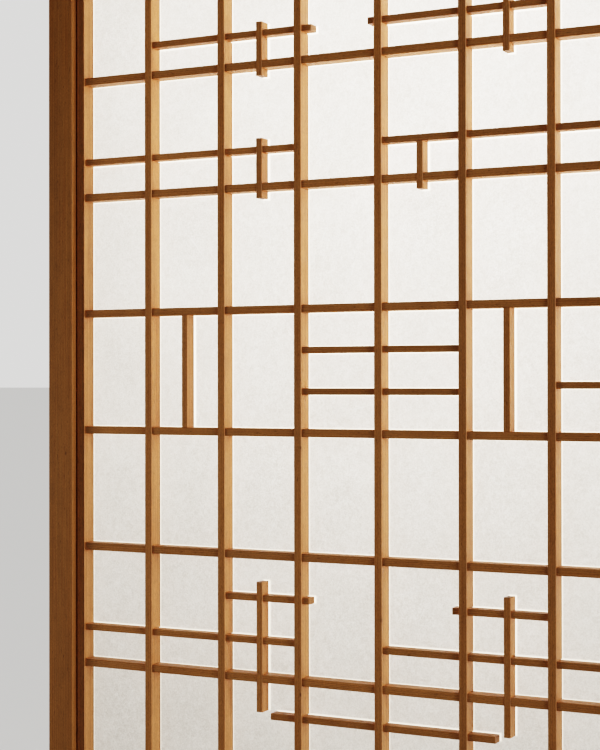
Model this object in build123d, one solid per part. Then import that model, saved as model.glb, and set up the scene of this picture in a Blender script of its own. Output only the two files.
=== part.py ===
from build123d import *
import os

# A shoji leaf that slides in its own wooden frame. X runs along the frame, Y from the room side to the far
# side and Z up, in millimetres. The origin is the middle of the frame's underside, and the leaf stands open
# at the right-hand jamb.

# Lattice of main bars
upright_count = 7
bay_pitch = 100.0
end_bay_clear = 87.0
crossbar_count = 12
row_pitch = 141.0
end_row_clear = 131.8
bar_face = 9.2
bar_depth = 20.0
crossbar_step = 1.5

# Thinner accent bars, whose backs stay clear of the paper
accent_face = 7.6
accent_back = 16.5
accent_upright_step = 1.0
accent_crossbar_step = 2.5

# Heights of the accent crossbars from the nearest main crossbar, and the free tips of the accent bars
top_rise = 36.0
pair_rise = 43.0
side_rise = 54.0
foot_drop = 42.5
short_tip = 13.0
top_tip = 16.5
foot_tip = 36.0
low_upright_tip = 18.5
low_upright_foot = 38.5

# Stub tenons of the lattice and the softened edges of its bars
stub_length = 2.5
stub_shoulder = 1.8
stub_cheek = 4.0
bar_ease = 0.5

# Leaf
leaf_depth = 30.0
stile_face = 34.5
top_rail_face = 45.0
bottom_rail_face = 95.0
rail_step = 1.0
lattice_setback = 8.5
inner_face = 12.3
inner_setback = 8.0
inner_groove_width = 2.4
inner_groove_depth = 5.0
rail_tenon_length = 28.0
rail_tenon_thickness = 10.0
rail_tenon_shoulder = 8.0
leaf_ease = 0.8
paper_thickness = 0.3
paper_margin = 1.0

# Frame
jamb_face = 40.0
jamb_depth = 105.0
track_depth = 100.0
sill_height = 40.0
head_height = 40.0
housing_depth = 8.0
groove_width = 21.0
head_groove_depth = 15.0
sill_groove_depth = 4.0
runner_thickness = 1.0
closing_groove_depth = 4.0
closing_groove_play = 1.0
frame_ease = 1.0

# Fits between the leaf and the frame
tongue_play = 0.5
slide_gap = 0.3
sill_gap = 1.0
lift_gap = 4.0
tongue_engagement = 8.0
open_gap = 1.0
closed_gap = 1.0
leaf_overlap = 35.0

# Sizes that follow
inner_width = (upright_count - 1) * bay_pitch + bar_face + 2 * end_bay_clear
inner_height = (crossbar_count - 1) * row_pitch + bar_face + 2 * end_row_clear
field_width = inner_width + 2 * inner_face
field_height = inner_height + 2 * inner_face
leaf_width = field_width + 2 * stile_face
leaf_front = -leaf_depth / 2
lattice_front = leaf_front + lattice_setback
lap_plane = lattice_front + bar_depth / 2
paper_front = lattice_front + bar_depth
tongue_thickness = groove_width - 2 * tongue_play
shoulder_z = sill_height + sill_gap
lattice_z = shoulder_z + bottom_rail_face + field_height / 2
top_shoulder_z = shoulder_z + bottom_rail_face + field_height + top_rail_face
head_z = top_shoulder_z + lift_gap
frame_height = head_z + head_height
runner_z = sill_height - sill_groove_depth + runner_thickness
clear_width = 2 * leaf_width - leaf_overlap
leaf_x = clear_width / 2 - open_gap - leaf_width / 2
travel = clear_width - leaf_width - open_gap + closing_groove_depth - closed_gap


def block(x, y, z):
    """A block between a low and a high value along each axis."""
    size = Box(x[1] - x[0], y[1] - y[0], z[1] - z[0], align=(Align.MIN, Align.MIN, Align.MIN))
    return Pos(x[0], y[0], z[0]) * size


def around(centre, width):
    """The low and high value of a width centred on a place."""
    return (centre - width / 2, centre + width / 2)


def ease(solid, axis, length, front_only=False):
    """Softens the long edges of a block, or only its two front ones."""
    edges = solid.edges().filter_by(axis).sort_by(Axis.Y)
    return chamfer(edges[:2] if front_only else edges, length)


class Bar:
    """A straight lattice bar. Each end is a place, or the bar that it is tenoned into."""

    def __init__(self, upright, at, start, end, face, front, back):
        self.upright = upright
        self.at = at
        self.face = face
        self.front = front
        self.back = back
        self.start_on = start if isinstance(start, Bar) else None
        self.end_on = end if isinstance(end, Bar) else None
        self.start = start.at + start.face / 2 if self.start_on else start
        self.end = end.at - end.face / 2 if self.end_on else end
        self.cuts = []

    def block(self, across, along, depth):
        """A block given across, along and through the bar."""
        if self.upright:
            return block(across, depth, along)
        return block(along, depth, across)

    def stub(self, along):
        """The stub tenon of one end, which is also the socket for it."""
        across = around(self.at, self.face - 2 * stub_shoulder)
        return self.block(across, along, (self.front + stub_cheek, self.back - stub_cheek))

    def stubs(self):
        """The stub tenons of this bar, each with the bar that holds it."""
        found = []
        if self.start_on:
            found.append((self.start_on, self.stub((self.start - stub_length, self.start))))
        if self.end_on:
            found.append((self.end_on, self.stub((self.end, self.end + stub_length))))
        return found

    def solid(self):
        """The finished bar, with its stubs, laps and sockets."""
        body = self.block(around(self.at, self.face), (self.start, self.end), (self.front, self.back))
        body = ease(body, Axis.Z if self.upright else Axis.X, bar_ease, front_only=True)
        for _, stub in self.stubs():
            body += stub
        return body - self.cuts if self.cuts else body


def inner_bar(upright, side):
    """One bar of the inner frame, for the lattice to land on: side is -1 left or below, 1 right or above."""
    span = field_width if upright else field_height
    half = (field_height if upright else field_width) / 2
    at = side * (span - inner_face) / 2
    return Bar(upright, at, -half, half, inner_face, leaf_front + inner_setback, paper_front)


def mitred_solid(bar):
    """An inner frame bar with mitred ends, its sockets and the narrow groove beside the stile or rail."""
    side = 1 if bar.at > 0 else -1
    outer = bar.at + side * bar.face / 2
    inner = bar.at - side * bar.face / 2
    corners = [(bar.start, outer), (bar.end, outer), (bar.end - bar.face, inner), (bar.start + bar.face, inner)]
    if bar.upright:
        corners = [(across, along) for along, across in corners]
    outline = Plane.XZ * make_face(Polyline([Vector(*corner) for corner in corners], close=True))
    body = Pos(0, bar.front, 0) * extrude(outline, bar.back - bar.front, dir=(0, 1, 0))
    groove = sorted((outer, outer - side * inner_groove_width))
    body -= bar.block(groove, (bar.start, bar.end), (bar.front, bar.front + inner_groove_depth))
    return body - bar.cuts


def column(offset):
    """The main upright that many bays right of the middle one, or left of it."""
    return uprights[upright_count // 2 + offset]


def row(offset):
    """The main crossbar that many rows above the leaf's middle, or below it."""
    return crossbars[crossbar_count // 2 + offset - (1 if offset > 0 else 0)]


def mid_bay(left, right):
    """The place halfway between two main uprights."""
    return (column(left).at + column(right).at) / 2


def main_upright(index):
    """One of the main uprights, counted from the left."""
    at = (index - (upright_count - 1) / 2) * bay_pitch
    return Bar(True, at, inner_bottom, inner_top, bar_face, lattice_front, paper_front)


def main_crossbar(index):
    """One of the main crossbars, counted from below."""
    at = (index - (crossbar_count - 1) / 2) * row_pitch
    return Bar(False, at, inner_left, inner_right, bar_face, lattice_front + crossbar_step, paper_front)


def accent_crossbar(at, start, end):
    """A thinner crossbar at a height, between two bars or free tips."""
    front = lattice_front + accent_crossbar_step
    return Bar(False, at, start, end, accent_face, front, lattice_front + accent_back)


def accent_upright(at, start, end):
    """A thinner upright in the middle of a bay, between two bars or free tips."""
    front = lattice_front + accent_upright_step
    return Bar(True, at, start, end, accent_face, front, lattice_front + accent_back)


def lap(upright, crossbar):
    """Half-laps two bars that cross: the upright runs in front and the crossbar behind."""
    if not (crossbar.start < upright.at < crossbar.end and upright.start < crossbar.at < upright.end):
        return
    across = around(upright.at, upright.face)
    height = around(crossbar.at, crossbar.face)
    upright.cuts.append(block(across, (lap_plane, upright.back), height))
    crossbar.cuts.append(block(across, (crossbar.front, lap_plane), height))


def tongue(x, z):
    """A stretch of the tongue that runs in the sill's or the head's groove."""
    return block(x, around(0, tongue_thickness), z)


def rail_tenon(side, z):
    """The tenon of a rail in a stile, which is also the mortise for it."""
    shoulder = side * field_width / 2
    tip = shoulder + side * rail_tenon_length
    height = (z[0] + rail_tenon_shoulder, z[1] - rail_tenon_shoulder)
    return block(sorted((shoulder, tip)), around(0, rail_tenon_thickness), height)


def stile(side):
    """A stile with mortises for both rails and a tongue at each end."""
    x = sorted((side * field_width / 2, side * leaf_width / 2))
    body = ease(block(x, around(0, leaf_depth), (low_shoulder, high_shoulder)), Axis.Z, leaf_ease)
    body += tongue(x, (low_tongue, low_shoulder)) + tongue(x, (high_shoulder, high_tongue))
    return body - rail_tenon(side, bottom_rail_z) - rail_tenon(side, top_rail_z)


def rail(z, tongue_z):
    """A rail between the stiles, with its tenons and its tongue."""
    x = around(0, field_width)
    body = ease(block(x, around(0, leaf_depth - 2 * rail_step), z), Axis.X, leaf_ease)
    return body + tongue(x, tongue_z) + rail_tenon(-1, z) + rail_tenon(1, z)


def paper():
    """The paper on the backs of the main bars and the inner frame."""
    x = around(0, field_width - 2 * paper_margin)
    z = around(0, field_height - 2 * paper_margin)
    return block(x, (paper_front, paper_front + paper_thickness), z)


def track(z, groove_z):
    """The sill or the head, with its ends housed in the jambs and its groove."""
    x = around(0, clear_width + 2 * housing_depth)
    body = ease(block(x, around(0, track_depth), z), Axis.X, frame_ease)
    return body - block(x, around(0, groove_width), groove_z)


def jamb(side):
    """A jamb with housings for the sill and the head."""
    face = side * clear_width / 2
    body = block(sorted((face, face + side * jamb_face)), around(0, jamb_depth), (0, frame_height))
    body = ease(body, Axis.Z, frame_ease)
    housing = sorted((face, face + side * housing_depth))
    for z in ((0, sill_height), (head_z, frame_height)):
        body -= ease(block(housing, around(0, track_depth), z), Axis.X, frame_ease)
    return body


def closing_jamb():
    """The left-hand jamb, grooved for the edge of the closed leaf."""
    face = -clear_width / 2
    width = leaf_depth + 2 * closing_groove_play
    return jamb(-1) - block((face - closing_groove_depth, face), around(0, width), (sill_height, head_z))


def runner():
    """The strip that the leaf runs on, in the bottom of the sill's groove."""
    return block(around(0, clear_width), around(0, groove_width), (runner_z - runner_thickness, runner_z))


# Heights of the leaf's rails and tongues, from the middle of its lattice
low_shoulder = shoulder_z - lattice_z
high_shoulder = top_shoulder_z - lattice_z
low_tongue = runner_z + slide_gap - lattice_z
high_tongue = head_z + tongue_engagement - lattice_z
bottom_rail_z = (low_shoulder, -field_height / 2)
top_rail_z = (field_height / 2, high_shoulder)

# The inner frame and the main lattice
inner_left = inner_bar(True, -1)
inner_right = inner_bar(True, 1)
inner_bottom = inner_bar(False, -1)
inner_top = inner_bar(False, 1)
uprights = [main_upright(index) for index in range(upright_count)]
crossbars = [main_crossbar(index) for index in range(crossbar_count)]

# The accent bars, from the top of the leaf down
top_at = row(3).at + top_rise
upper_at = row(2).at + pair_rise
lower_at = row(-3).at + pair_rise
low_cross_at = (row(-2).at + lower_at) / 2
upper_right = accent_crossbar(upper_at, column(0), inner_right)
accent_crossbars = [
    accent_crossbar(top_at, column(-3), column(-1).at + top_tip),
    accent_crossbar(top_at, column(0).at - short_tip, column(2)),
    accent_crossbar(upper_at, inner_left, column(-1)),
    upper_right,
    accent_crossbar(row(1).at - row_pitch / 3, column(-1), column(1)),
    accent_crossbar(row(-1).at + row_pitch / 3, column(-1), column(1)),
    accent_crossbar(row(-1).at + side_rise, column(2), inner_right),
    accent_crossbar(low_cross_at, column(-2), column(-1).at + short_tip),
    accent_crossbar(low_cross_at, column(1).at - short_tip, column(2)),
    accent_crossbar(lower_at, inner_left, column(-1)),
    accent_crossbar(lower_at, column(0), inner_right),
    accent_crossbar(row(-3).at - foot_drop, column(-1).at - foot_tip, column(1).at + foot_tip),
]
accent_uprights = [
    accent_upright(mid_bay(-2, -1), row(3).at - short_tip, top_at + short_tip),
    accent_upright(mid_bay(1, 2), row(3).at - short_tip, top_at + short_tip),
    accent_upright(mid_bay(-2, -1), row(2).at - short_tip, upper_at + short_tip),
    accent_upright(mid_bay(0, 1), row(2).at - short_tip, upper_right),
    accent_upright(mid_bay(-3, -2), row(-1), row(1)),
    accent_upright(mid_bay(1, 2), row(-1), row(1)),
    accent_upright(mid_bay(-2, -1), row(-3).at - low_upright_foot, low_cross_at + low_upright_tip),
    accent_upright(mid_bay(1, 2), row(-3).at - low_upright_foot, low_cross_at + low_upright_tip),
]

# Every crossing is lapped, and every stub tenon cuts its socket
for standing in uprights + accent_uprights:
    for lying in crossbars + accent_crossbars:
        lap(standing, lying)
for bar in uprights + crossbars + accent_uprights + accent_crossbars:
    for holder, stub in bar.stubs():
        holder.cuts.append(stub)

leaf = {
    "stile_left": stile(-1),
    "stile_right": stile(1),
    "rail_bottom": rail(bottom_rail_z, (low_tongue, low_shoulder)),
    "rail_top": rail(top_rail_z, (high_shoulder, high_tongue)),
    "inner_frame_left": mitred_solid(inner_left),
    "inner_frame_right": mitred_solid(inner_right),
    "inner_frame_bottom": mitred_solid(inner_bottom),
    "inner_frame_top": mitred_solid(inner_top),
    "paper": paper(),
}
for name, bars in (
    ("upright", uprights),
    ("crossbar", crossbars),
    ("accent_upright", accent_uprights),
    ("accent_crossbar", accent_crossbars),
):
    for number, bar in enumerate(bars, start=1):
        leaf[f"{name}_{number:02d}"] = bar.solid()

frame = {
    "sill": track((0, sill_height), (sill_height - sill_groove_depth, sill_height)),
    "sill_runner": runner(),
    "head": track((head_z, frame_height), (head_z, head_z + head_groove_depth)),
    "jamb_left": closing_jamb(),
    "jamb_right": jamb(1),
}

os.makedirs("parts", exist_ok=True)
for name, solid in frame.items():
    export_step(solid, f"parts/{name}.step")
for name, solid in leaf.items():
    export_step(Pos(leaf_x, 0, lattice_z) * solid, f"parts/{name}.step")
print("leaf", leaf_width, "lattice centre", leaf_x, lattice_z, "travel", travel)
print("frame", clear_width + 2 * jamb_face, frame_height, "head underside", head_z)
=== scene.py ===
import math

import bpy
from mathutils import Euler, Matrix, Vector


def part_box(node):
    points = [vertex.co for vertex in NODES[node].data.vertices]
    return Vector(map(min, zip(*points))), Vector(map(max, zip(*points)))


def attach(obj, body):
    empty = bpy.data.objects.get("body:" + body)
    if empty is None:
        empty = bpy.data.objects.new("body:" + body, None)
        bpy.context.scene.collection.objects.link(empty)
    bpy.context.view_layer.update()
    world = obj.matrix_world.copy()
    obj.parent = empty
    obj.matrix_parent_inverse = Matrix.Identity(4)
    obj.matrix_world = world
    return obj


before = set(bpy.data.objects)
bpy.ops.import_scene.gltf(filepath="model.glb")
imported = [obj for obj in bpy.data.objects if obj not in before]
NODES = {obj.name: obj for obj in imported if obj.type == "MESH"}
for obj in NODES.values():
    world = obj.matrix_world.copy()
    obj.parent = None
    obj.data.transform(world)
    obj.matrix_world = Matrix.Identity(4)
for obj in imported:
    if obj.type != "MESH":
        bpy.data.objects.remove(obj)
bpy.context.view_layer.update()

# The looks of a shoji leaf and its wooden frame. Metres, X along the frame, Y away from the room, Z up.

FRAME_NODES = ("sill", "sill_runner", "head", "jamb_left", "jamb_right")
SCENE = bpy.context.scene

# Half the width of a main lattice bar's face
HALF_BAR = (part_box("upright_01")[1].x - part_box("upright_01")[0].x) / 2

# The camera, as fitted to the lattice in the photograph: its place from the middle of the first main
# upright's front face and from the middle of the lattice, its turn in degrees, and its focal length in
# picture heights
CAMERA_RIGHT = 1.0505
CAMERA_BACK = 1.636
CAMERA_DROP = 0.0134
CAMERA_YAW = 27.372
CAMERA_PITCH = 0.269
CAMERA_ROLL = 0.069
FOCAL_HEIGHTS = 2.171
SENSOR_MM = 36.0

# Wood: the colours of its early wood and late wood, and how far apart its growth rings lie
LATTICE_WOOD = ((0.66, 0.29, 0.105, 1.0), (0.44, 0.165, 0.05, 1.0), 0.0021)
STILE_WOOD = ((0.50, 0.212, 0.064, 1.0), (0.33, 0.118, 0.030, 1.0), 0.0024)
RUNNER_WOOD = ((0.46, 0.24, 0.12, 1.0), (0.30, 0.13, 0.06, 1.0), 0.0015)

# How far off the pith lies that the growth rings run round
UPRIGHT_PITH = 0.35
CROSSBAR_PITH = 0.42
STILE_PITH = 0.22
RAIL_PITH = 0.12
RUNNER_PITH = 0.3

# How rough early wood and late wood are, and how glossy wood is
EARLY_ROUGHNESS = 0.6
LATE_ROUGHNESS = 0.45
WOOD_GLOSS = 0.3

# Noise patterns in wood: how fine each is across and along the grain, its detail and its roughness
WOOD_PATTERNS = {
    "drift": (30.0, 1.7, 1.0, 0.5),
    "streak": (700.0, 9.0, 3.0, 0.6),
    "band": (240.0, 2.5, 2.0, 0.5),
    "fleck": (1500.0, 130.0, 1.0, 0.5),
    "mottle": (110.0, 45.0, 2.0, 0.5),
    "pores": (800.0, 380.0, 2.0, 0.7),
}

# The part of a noise pattern's range that most of it lies in
NOISE_LOW = 0.3
NOISE_HIGH = 0.7

# How far the wood's tone strays by each pattern, as a share, and by pieces of timber
TONE_REACH = {"mottle": 0.07, "pores": 0.15, "band": 0.09, "streak": 0.12}
DRIFT_REACH = 0.08
DRIFT_LOW, DRIFT_HIGH = 0.25, 0.75
DARKEST_PIECE = 0.9
PIECE_REACH = 0.2

# How far apart along the timber pieces may be cut, how widely the grain's slope varies between pieces, and
# how far the grain wanders
TIMBER_LENGTH = 37.0
GRAIN_LEAN = 0.008
GRAIN_WANDER = 0.002

# Late wood: where in a ring it begins, where it is full and from where it drops to the ring's end, how many
# rings a band shifts it by, its least and greatest strength, and the least and most that a streak adds
LATE_BEGINS = 0.25
LATE_FULL = 0.85
LATE_DROPS = 0.88
BAND_SHIFT = 2.2
LATE_LEAST, LATE_MOST = 0.25, 0.8
STREAK_LEAST, STREAK_MOST = -0.2, 0.6

# Flecks and pin knots: the share of late wood's colour that both have, where in its pattern each is full and
# where it fades out, how strong it is, and how fine the knots' cells are across and along the grain
SPOT_DEPTH = 0.35
FLECK_STARTS, FLECK_FULL, FLECK_STRENGTH = 0.66, 0.73, 0.6
KNOT_FULL, KNOT_ENDS, KNOT_STRENGTH = 0.015, 0.05, 0.8
KNOT_ACROSS, KNOT_ALONG = 26.0, 15.0

# Darker places on a bar: the share of late wood's colour that they have, and the strength of each. Painted
# shade along the arrises reaches over a share of the bar's depth, darker end grain over a share of its
# length, and painted shade at the back of the sides over a share of its depth from the back. Dust with
# painted contact shadow is full and ends so far beside an upright.
SHADE_DEPTH = 0.4
ARRIS_SHADE_STRENGTH, ARRIS_REACH = 0.45, 0.02
END_STRENGTH, END_REACH = 0.5, 0.0005
BACK_SHADE_STRENGTH, LATTICE_BACK_SHADE = 0.7, 0.13
DUST_AND_SHADE_STRENGTH, DUST_AND_SHADE_FULL, DUST_AND_SHADE_ENDS = 0.5, 0.0002, 0.0015

# The share of a front face's width that painted shade darkens along each arris
UPRIGHT_ARRIS = 0.12
CROSSBAR_ARRIS = 0.10
FRAME_ARRIS = 0.02

# How much edges are rounded, on the lattice and its inner frame, and on the stiles, rails and outer frame
BAR_EDGE = 0.0002
FRAME_EDGE = 0.0004

# How edges are rounded: the gap that is welded first, the angle in degrees under which faces are made one,
# the angle over which an edge is rounded, and the steps it is rounded in
WELD_GAP = 0.00001
FLAT_ANGLE = 1
SHARP_ANGLE = 30
EDGE_STEPS = 2

# Noise patterns in paper: how fine each is, its detail, its roughness and its share of the whole, and the
# range of their sum over which thick paper turns thin
PAPER_PATTERNS = ((620.0, 2.0, 0.5, 0.6), (130.0, 4.0, 0.65, 0.25), (11.0, 3.0, 0.55, 0.15))
PAPER_LOW, PAPER_HIGH = 0.34, 0.66

# Stray fibres in paper: the ways they run, how fine they are along and across, their detail, where in the
# pattern they start and are full, and their strength
FIBRE_ANGLES = (12.0, 66.0, 128.0)
FIBRE_ALONG, FIBRE_ACROSS, FIBRE_DETAIL = 16.0, 520.0, 1.5
FIBRE_STARTS, FIBRE_FULL, FIBRE_STRENGTH = 0.70, 0.78, 0.5

# Colours of thick paper, of thin paper, of its fibres and of the strip of paste and painted glow beside the
# bars
PAPER_THICK = (0.73, 0.705, 0.665, 1.0)
PAPER_THIN = (0.95, 0.93, 0.895, 1.0)
FIBRE_COLOUR = (0.96, 0.955, 0.94, 1.0)
PASTE_AND_GLOW_COLOUR = (0.98, 0.92, 0.82, 1.0)

# The share of the paper that is translucent, how much more it is in the strip beside a bar where paste and a
# painted glow brighten it, and how wide that strip is
PAPER_CLEAR = 0.66
PASTE_AND_GLOW_CLEARER = 0.33
PASTE_AND_GLOW_WIDTH = 0.0016

# How rough and how glossy paper is
PAPER_ROUGHNESS = 0.85
PAPER_GLOSS = 0.2

# How strongly the wood's streaks and the paper's mottle stand out of a surface, and how far
RELIEF = 0.3
RELIEF_HEIGHT = 0.0003

# The lights on the paper and on all the wood: place and target from the paper's middle, width, height, watts
# and colour
ON_PAPER = {
    "light_sun": ((0.2, 1.05, 0.75), (0.04, 0.0, 0.25), 0.7, 0.7, 31.0, (1.0, 0.97, 0.92)),
    "light_sky": ((0.3, 2.4, -0.4), (0.0, 0.0, 0.0), 2.0, 2.0, 6.0, (0.82, 0.90, 1.0)),
}
ON_WOOD = {
    "light_garden": ((-1.2, 3.0, 1.5), (0.0, 0.0, 0.0), 2.5, 2.5, 80.0, (1.0, 0.97, 0.92)),
    "light_left": ((-2.8, -1.0, -0.2), (0.0, 0.0, 0.0), 0.7, 1.6, 27.0, (1.0, 0.90, 0.66)),
    "light_right": ((3.2, -0.8, 0.2), (0.0, 0.0, 0.0), 0.8, 1.8, 60.0, (0.90, 0.97, 1.0)),
}

# How widely light_sun spreads, in degrees
SUN_SPREAD = 92.0

# The light on the frame alone, from the middle of the frame's foot, and the one on the floor alone, its
# strength and its breadth in degrees
ON_FRAME = {"light_above": ((0.0, -0.5, 4.2), (0.0, 0.0, 1.0), 2.5, 2.5, 90.0, (1.0, 0.95, 0.88))}
FLOOR_LIGHT = 3.2
FLOOR_LIGHT_ANGLE = 60.0

# The floor and the studio round it, which is bright for the camera and dim as a light
FLOOR_HALF = 300.0
FLOOR_COLOUR = (0.62, 0.61, 0.59, 1.0)
FLOOR_ROUGHNESS = 0.8
STUDIO_COLOUR = (0.98, 0.97, 0.95, 1.0)
STUDIO_LIGHT = 0.035
STUDIO_SEEN = 1.0


def middle(node):
    """The middle of a CAD node's box."""
    low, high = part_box(node)
    return (low + high) / 2


def numbered(kind):
    """The CAD nodes of one kind, in order."""
    return sorted(name for name in NODES if name.startswith(kind + "_"))


def make_camera():
    """The photograph's view of the leaf."""
    camera = bpy.data.objects.new("camera", bpy.data.cameras.new("camera"))
    camera.data.sensor_fit = "VERTICAL"
    camera.data.sensor_height = SENSOR_MM
    camera.data.lens = FOCAL_HEIGHTS * SENSOR_MM
    lattice_middle = (middle("crossbar_06").z + middle("crossbar_07").z) / 2
    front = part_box("upright_01")[0].y
    place = Vector((middle("upright_01").x + CAMERA_RIGHT, front - CAMERA_BACK, lattice_middle - CAMERA_DROP))
    turn = Euler((math.radians(90 + CAMERA_PITCH), 0, math.radians(CAMERA_YAW))).to_matrix()
    turn = turn @ Matrix.Rotation(math.radians(-CAMERA_ROLL), 3, "Z")
    camera.matrix_world = Matrix.Translation(place) @ turn.to_4x4()
    SCENE.collection.objects.link(camera)
    SCENE.camera = camera


class Shader:
    """A material's node tree, built by short calls."""

    def __init__(self, name):
        self.material = bpy.data.materials.new(name)
        self.material.use_nodes = True
        self.tree = self.material.node_tree
        self.tree.nodes.clear()

    def fill(self, socket, value):
        """Gives a socket a plain value or another node's output."""
        if isinstance(value, bpy.types.NodeSocket):
            self.tree.links.new(value, socket)
        else:
            socket.default_value = value

    def add(self, kind, values=None, **settings):
        """Adds a node. values gives its inputs, each a plain value or another node's output."""
        node = self.tree.nodes.new("ShaderNode" + kind)
        for key, value in settings.items():
            setattr(node, key, value)
        for key, value in (values or {}).items():
            self.fill(node.inputs[key], value)
        return node

    def coordinates(self, kind):
        """The piece's Object or Generated coordinates."""
        return self.add("TexCoord").outputs[kind]

    def parts(self, vector):
        """A vector's three numbers."""
        return self.add("SeparateXYZ", {0: vector}).outputs

    def math(self, operation, first, second=0.0, third=0.0):
        """A number worked out from up to three others."""
        node = self.add("Math", {0: first, 1: second, 2: third}, operation=operation)
        return node.outputs[0]

    def vector(self, operation, first, second):
        """A vector worked out from two others."""
        return self.add("VectorMath", {0: first, 1: second}, operation=operation).outputs[0]

    def noise(self, place, scale, detail, roughness):
        """Smooth noise from 0 to 1."""
        values = {"Vector": place, "Scale": scale, "Detail": detail, "Roughness": roughness}
        return self.add("TexNoise", values).outputs["Fac"]

    def drawn_out(self, place, across, along, detail, roughness=0.5):
        """Noise that is so fine across a place's third axis and so fine along it."""
        return self.noise(self.vector("MULTIPLY", place, (across, across, along)), 1.0, detail, roughness)

    def remap(self, value, low, high, to_low=0.0, to_high=1.0):
        """A number moved from one range to another, and kept in it."""
        values = {"Value": value, "From Min": low, "From Max": high, "To Min": to_low, "To Max": to_high}
        return self.add("MapRange", values).outputs["Result"]

    def from_ends(self, share):
        """How far a share lies from the nearer of 0 and 1."""
        return self.math("MINIMUM", share, self.math("SUBTRACT", 1.0, share))

    def mix(self, factor, first, second, blend="MIX"):
        """Two colours mixed."""
        node = self.add("Mix", data_type="RGBA", blend_type=blend)
        for socket, value in ((node.inputs[0], factor), (node.inputs[6], first), (node.inputs[7], second)):
            self.fill(socket, value)
        return node.outputs[2]

    def relief(self, height):
        """A surface raised a little by a pattern."""
        values = {"Strength": RELIEF, "Distance": RELIEF_HEIGHT, "Height": height}
        return self.add("Bump", values).outputs[0]

    def finish(self, surface):
        """Sends a shader to the output and returns the material."""
        self.add("OutputMaterial", {"Surface": surface})
        return self.material


def darker(colour, share):
    """A colour times a share, still opaque."""
    return [value * share for value in colour[:3]] + [1.0]


def from_row(shader, value, first, second):
    """How far a number lies from the middle of the nearest bar in an even row, known by two bars."""
    pitch = second - first
    steps = shader.math("DIVIDE", shader.math("SUBTRACT", value, first), pitch)
    off = shader.math("ABSOLUTE", shader.math("SUBTRACT", steps, shader.math("ROUND", steps)))
    return shader.math("MULTIPLY", off, pitch)


def late_wood(shader, across, y, length, chance, pattern, ring_width, pith):
    """How dark a place is in its growth ring, with rings round a pith that far off.

    The grain leans a little in each piece and wanders slowly.
    """
    lean = shader.math("MULTIPLY", shader.math("SUBTRACT", chance, 0.5), GRAIN_LEAN)
    wander = shader.math("MULTIPLY_ADD", pattern["drift"], GRAIN_WANDER, pith)
    off = shader.math("ADD", across, shader.math("MULTIPLY_ADD", lean, length, wander))
    beside = shader.math("MULTIPLY_ADD", chance, pith, y)
    square = shader.math("MULTIPLY_ADD", off, off, shader.math("MULTIPLY", beside, beside))
    turns = shader.math("DIVIDE", shader.math("SQRT", square), ring_width)
    ring = shader.math("FRACT", shader.math("MULTIPLY_ADD", pattern["band"], BAND_SHIFT, turns))
    rise = shader.remap(ring, LATE_BEGINS, LATE_FULL)
    late = shader.math("MULTIPLY", rise, shader.remap(ring, 1.0, LATE_DROPS))
    strength = shader.remap(pattern["band"], NOISE_LOW, NOISE_HIGH, LATE_LEAST, LATE_MOST)
    return shader.math("MULTIPLY", late, strength)


def wood_tone(shader, chance, pattern):
    """A grey that the wood's colour is multiplied by, from slow drift, the other patterns and the piece."""
    drift = shader.remap(pattern["drift"], DRIFT_LOW, DRIFT_HIGH, 1.0 - DRIFT_REACH, 1.0 + DRIFT_REACH)
    tone = shader.math("MULTIPLY", drift, shader.math("MULTIPLY_ADD", chance, PIECE_REACH, DARKEST_PIECE))
    for name, reach in TONE_REACH.items():
        change = shader.remap(pattern[name], NOISE_LOW, NOISE_HIGH, 1.0 - reach, 1.0 + reach)
        tone = shader.math("MULTIPLY", tone, change)
    return shader.add("CombineColor", {0: tone, 1: tone, 2: tone}).outputs[0]


def darkened(shader, along, x, arris, back_shade, lapped):
    """How far a place is darkened by painted shade, end grain, and dust beside the uprights."""
    share = shader.parts(shader.coordinates("Generated"))
    across_share, length_share = (share[2], share[0]) if along == "X" else (share[0], share[2])

    # Painted shade darkens the front face along its arrises, and end grain drinks in more of the finish
    arris_shade = shader.remap(shader.from_ends(across_share), 0.0, arris, ARRIS_SHADE_STRENGTH, 0.0)
    arris_shade = shader.math("MULTIPLY", arris_shade, shader.remap(share[1], 0.0, ARRIS_REACH, 1.0, 0.0))
    end = shader.remap(shader.from_ends(length_share), 0.0, END_REACH, END_STRENGTH, 0.0)
    shade = shader.math("MAXIMUM", arris_shade, end)
    if back_shade:
        # Painted shade also darkens the back of a bar's side next to the paper, on the accent bars too, which
        # no glue reaches
        back_shaded = shader.remap(share[1], 1.0 - back_shade, 1.0 - back_shade / 2, 0.0, BACK_SHADE_STRENGTH)
        shade = shader.math("MAXIMUM", shade, back_shaded)
    if lapped:
        # A piece that lies across the row of uprights holds a little dust beside them, with painted contact
        # shadow there too
        beside = from_row(shader, x, middle("upright_01").x, middle("upright_02").x)
        dust_and_shade = shader.remap(beside, HALF_BAR + DUST_AND_SHADE_FULL, HALF_BAR + DUST_AND_SHADE_ENDS, DUST_AND_SHADE_STRENGTH, 0.0)
        shade = shader.math("MAXIMUM", shade, dust_and_shade)
    return shade


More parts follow.
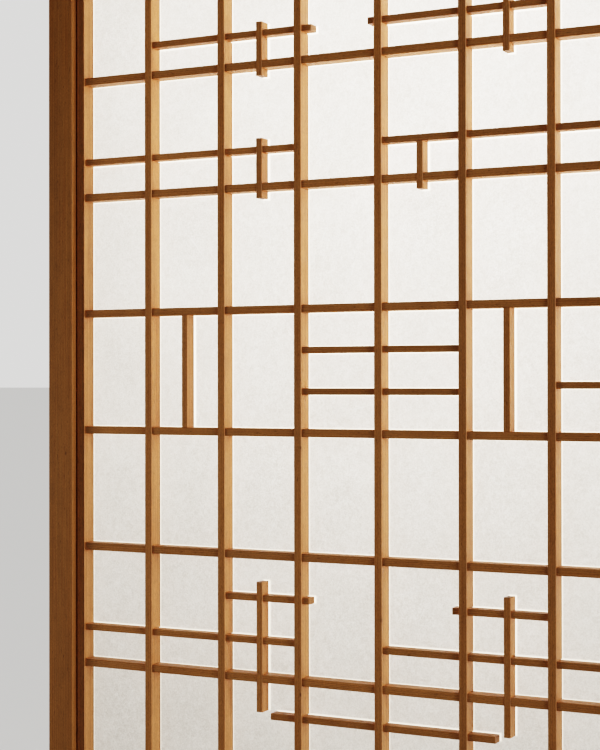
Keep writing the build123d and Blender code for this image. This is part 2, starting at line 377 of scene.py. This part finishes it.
def wood(name, along, kind, pith, arris=FRAME_ARRIS, back_shade=0.0, lapped=False):
    """Planed wood with straight grain along X or Z, and growth rings round a pith that far off.

    arris is the share of a front face darkened by painted shade along each edge, and the next argument the
    share of a piece's depth darkened by painted shade at its back. lapped says that the piece lies across the
    row of uprights.
    """
    early, late, ring_width = kind
    shader = Shader(name)
    x, y, z = shader.parts(shader.coordinates("Object"))
    across, length = (z, x) if along == "X" else (x, z)
    chance = shader.add("ObjectInfo").outputs["Random"]

    # Grain runs along the third axis of this place, and every piece is its own stretch of timber
    own_length = shader.math("MULTIPLY_ADD", chance, TIMBER_LENGTH, length)
    place = shader.add("CombineXYZ", {0: across, 1: y, 2: own_length}).outputs[0]
    pattern = {key: shader.drawn_out(place, *values) for key, values in WOOD_PATTERNS.items()}

    # Late wood and streaks over early wood, then dark flecks and pin knots, the tone and the darker places,
    # mostly painted shade
    rings = late_wood(shader, across, y, length, chance, pattern, ring_width, pith)
    streaks = shader.remap(pattern["streak"], NOISE_LOW, NOISE_HIGH, STREAK_LEAST, STREAK_MOST)
    grain = shader.math("ADD", rings, streaks)
    colour = shader.mix(shader.remap(grain, 0.0, 1.0), early, late)
    cells = shader.vector("MULTIPLY", place, (KNOT_ACROSS, KNOT_ACROSS, KNOT_ALONG))
    from_knot = shader.add("TexVoronoi", {"Vector": cells, "Scale": 1.0}).outputs["Distance"]
    knot = shader.remap(from_knot, KNOT_FULL, KNOT_ENDS, KNOT_STRENGTH, 0.0)
    fleck = shader.remap(pattern["fleck"], FLECK_STARTS, FLECK_FULL, 0.0, FLECK_STRENGTH)
    colour = shader.mix(shader.math("MAXIMUM", fleck, knot), colour, darker(late, SPOT_DEPTH))
    colour = shader.mix(1.0, colour, wood_tone(shader, chance, pattern), "MULTIPLY")
    shade = darkened(shader, along, x, arris, back_shade, lapped)
    colour = shader.mix(shade, colour, darker(late, SHADE_DEPTH))

    roughness = shader.remap(grain, 0.0, 1.0, EARLY_ROUGHNESS, LATE_ROUGHNESS)
    values = {"Base Color": colour, "Roughness": roughness, "Normal": shader.relief(pattern["streak"])}
    surface = shader.add("BsdfPrincipled", values)
    surface.inputs["Specular IOR Level"].default_value = WOOD_GLOSS
    return shader.finish(surface.outputs[0])


def from_bars(shader, place):
    """How far a place on the paper lies from the nearest bar, or from where the row would have one."""
    x, y, z = shader.parts(place)
    beside = from_row(shader, x, middle("upright_01").x, middle("upright_02").x)
    above = from_row(shader, z, middle("crossbar_01").z, middle("crossbar_02").z)
    nearest = shader.math("SUBTRACT", shader.math("MINIMUM", beside, above), HALF_BAR)
    for name in numbered("inner_frame") + numbered("accent_upright") + numbered("accent_crossbar"):
        low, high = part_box(name)
        off = shader.vector("SUBTRACT", place, (low + high) / 2)
        off = shader.vector("SUBTRACT", shader.vector("ABSOLUTE", off, (0, 0, 0)), (high - low) / 2)
        x, y, z = shader.parts(off)
        nearest = shader.math("MINIMUM", nearest, shader.math("MAXIMUM", x, z))
    return nearest


def stray_fibres(shader, place):
    """Fine fibres that cross the paper in a few ways, from 0 to 1."""
    fibres = 0.0
    for angle in FIBRE_ANGLES:
        values = {"Vector": place, "Axis": (0, 1, 0), "Angle": math.radians(angle)}
        turned = shader.add("VectorRotate", values).outputs[0]
        strand = shader.drawn_out(turned, FIBRE_ALONG, FIBRE_ACROSS, FIBRE_DETAIL)
        fibres = shader.math("MAXIMUM", fibres, shader.remap(strand, FIBRE_STARTS, FIBRE_FULL))
    return fibres


def paper_material():
    """Translucent fibre paper: cloudy, finely mottled and crossed by stray fibres."""
    shader = Shader("paper")
    place = shader.coordinates("Object")
    body = 0.0
    for scale, detail, roughness, share in PAPER_PATTERNS:
        body = shader.math("MULTIPLY_ADD", shader.noise(place, scale, detail, roughness), share, body)
    colour = shader.mix(shader.remap(body, PAPER_LOW, PAPER_HIGH), PAPER_THICK, PAPER_THIN)
    fibres = shader.math("MULTIPLY", stray_fibres(shader, place), FIBRE_STRENGTH)
    colour = shader.mix(fibres, colour, FIBRE_COLOUR)

    # A strip beside every bar is clearer and a little yellower: paste soaked in, and a painted glow of the
    # light that the bars' lit sides throw on the paper. It is drawn beside the accent bars too, although they
    # aren't pasted to the paper.
    paste_and_glow = shader.remap(from_bars(shader, place), 0.0, PASTE_AND_GLOW_WIDTH, 1.0, 0.0)
    colour = shader.mix(paste_and_glow, colour, PASTE_AND_GLOW_COLOUR)
    clear = shader.math("MULTIPLY_ADD", paste_and_glow, PASTE_AND_GLOW_CLEARER, PAPER_CLEAR)
    values = {"Base Color": colour, "Roughness": PAPER_ROUGHNESS, "Normal": shader.relief(body)}
    front = shader.add("BsdfPrincipled", values)
    front.inputs["Specular IOR Level"].default_value = PAPER_GLOSS
    through = shader.add("BsdfTranslucent", {"Color": colour})
    mixed = shader.add("MixShader", {0: clear, 1: front.outputs[0], 2: through.outputs[0]})
    return shader.finish(mixed.outputs[0])


def round_edges(piece, edge):
    """Rounds a piece's edges by that much."""
    piece.modifiers.new("weld", "WELD").merge_threshold = WELD_GAP
    flat = piece.modifiers.new("flat", "DECIMATE")
    flat.decimate_type = "DISSOLVE"
    flat.angle_limit = math.radians(FLAT_ANGLE)
    bevel = piece.modifiers.new("edge", "BEVEL")
    bevel.width = edge
    bevel.segments = EDGE_STEPS
    bevel.limit_method = "ANGLE"
    bevel.angle_limit = math.radians(SHARP_ANGLE)
    bevel.harden_normals = True


def dress(material, edge, names):
    """Gives CAD nodes a material, and rounds their edges by that much, or leaves them sharp at 0."""
    for name in names:
        NODES[name].data.materials.clear()
        NODES[name].data.materials.append(material)
        if edge:
            round_edges(NODES[name], edge)


def dress_all():
    """A material for every CAD node."""
    standing = ["inner_frame_left", "inner_frame_right", *numbered("upright"), *numbered("accent_upright")]
    lying = ["inner_frame_top", "inner_frame_bottom", *numbered("crossbar"), *numbered("accent_crossbar")]
    lattice_z = wood("lattice_upright", "Z", LATTICE_WOOD, UPRIGHT_PITH, UPRIGHT_ARRIS, LATTICE_BACK_SHADE)
    lattice_x = wood(
        "lattice_crossbar", "X", LATTICE_WOOD, CROSSBAR_PITH, CROSSBAR_ARRIS, LATTICE_BACK_SHADE, lapped=True
    )
    stile = wood("stile", "Z", STILE_WOOD, STILE_PITH)
    rail = wood("rail", "X", STILE_WOOD, RAIL_PITH)
    runner = wood("runner", "X", RUNNER_WOOD, RUNNER_PITH)
    dress(lattice_z, BAR_EDGE, standing)
    dress(lattice_x, BAR_EDGE, lying)
    dress(stile, FRAME_EDGE, ["stile_left", "stile_right", "jamb_left", "jamb_right"])
    dress(rail, FRAME_EDGE, ["rail_top", "rail_bottom", "sill", "head"])
    dress(runner, 0, ["sill_runner"])
    dress(paper_material(), 0, ["paper"])


def make_floor():
    """A plain pale floor, which throws no diffuse light on the object."""
    mesh = bpy.data.meshes.new("floor")
    corners = [(x * FLOOR_HALF, y * FLOOR_HALF, 0) for x, y in ((-1, -1), (1, -1), (1, 1), (-1, 1))]
    mesh.from_pydata(corners, [], [(0, 1, 2, 3)])
    shader = Shader("floor")
    surface = shader.add("BsdfPrincipled", {"Base Color": FLOOR_COLOUR, "Roughness": FLOOR_ROUGHNESS})
    floor = bpy.data.objects.new("floor", mesh)
    floor.data.materials.append(shader.finish(surface.outputs[0]))
    floor.visible_diffuse = False
    SCENE.collection.objects.link(floor)
    return floor


def only_on(light, objects):
    """Lets a light fall on these objects alone."""
    lit = bpy.data.collections.new(light.name + "_reach")
    for thing in objects:
        lit.objects.link(thing)
    light.light_linking.receiver_collection = lit


def area_lights(lights, origin, objects):
    """Soft rectangular lights, unseen by the camera, that fall on these objects alone."""
    made = []
    for name, (place, target, width, height, watts, colour) in lights.items():
        lamp = bpy.data.lights.new(name, "AREA")
        lamp.shape = "RECTANGLE"
        lamp.size, lamp.size_y = width, height
        lamp.energy = watts
        lamp.color = colour
        light = bpy.data.objects.new(name, lamp)
        place, target = origin + Vector(place), origin + Vector(target)
        light.location = place
        light.rotation_euler = (target - place).to_track_quat("-Z", "Y").to_euler()
        light.visible_camera = False
        SCENE.collection.objects.link(light)
        only_on(light, objects)
        made.append(light)
    return made


def make_lights(floor):
    """Two lights behind the paper, three on all the wood, one on the frame and one on the floor."""
    leaf = middle("paper")
    behind = area_lights(ON_PAPER, leaf, [NODES["paper"]])
    behind[0].data.spread = math.radians(SUN_SPREAD)
    for light in behind:
        # So the paper glows alike wherever the leaf stands
        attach(light, "leaf")
    area_lights(ON_WOOD, leaf, [NODES[name] for name in NODES if name != "paper"])
    area_lights(ON_FRAME, Vector((0, 0, 0)), [NODES[name] for name in FRAME_NODES])
    overhead = bpy.data.objects.new("light_floor", bpy.data.lights.new("light_floor", "SUN"))
    overhead.data.energy = FLOOR_LIGHT
    overhead.data.angle = math.radians(FLOOR_LIGHT_ANGLE)
    SCENE.collection.objects.link(overhead)
    only_on(overhead, [floor])


def make_world():
    """A pale studio all round, which lights the object only dimly."""
    world = bpy.data.worlds.new("world")
    world.use_nodes = True
    nodes, links = world.node_tree.nodes, world.node_tree.links
    background = nodes["Background"]
    background.inputs["Color"].default_value = STUDIO_COLOUR
    seen = nodes.new("ShaderNodeLightPath").outputs["Is Camera Ray"]
    strength = nodes.new("ShaderNodeMapRange")
    strength.inputs["To Min"].default_value = STUDIO_LIGHT
    strength.inputs["To Max"].default_value = STUDIO_SEEN
    links.new(seen, strength.inputs["Value"])
    links.new(strength.outputs["Result"], background.inputs["Strength"])
    SCENE.world = world


make_camera()
dress_all()
make_lights(make_floor())
make_world()
SCENE.view_settings.view_transform = "Filmic"
SCENE.view_settings.look = "High Contrast"
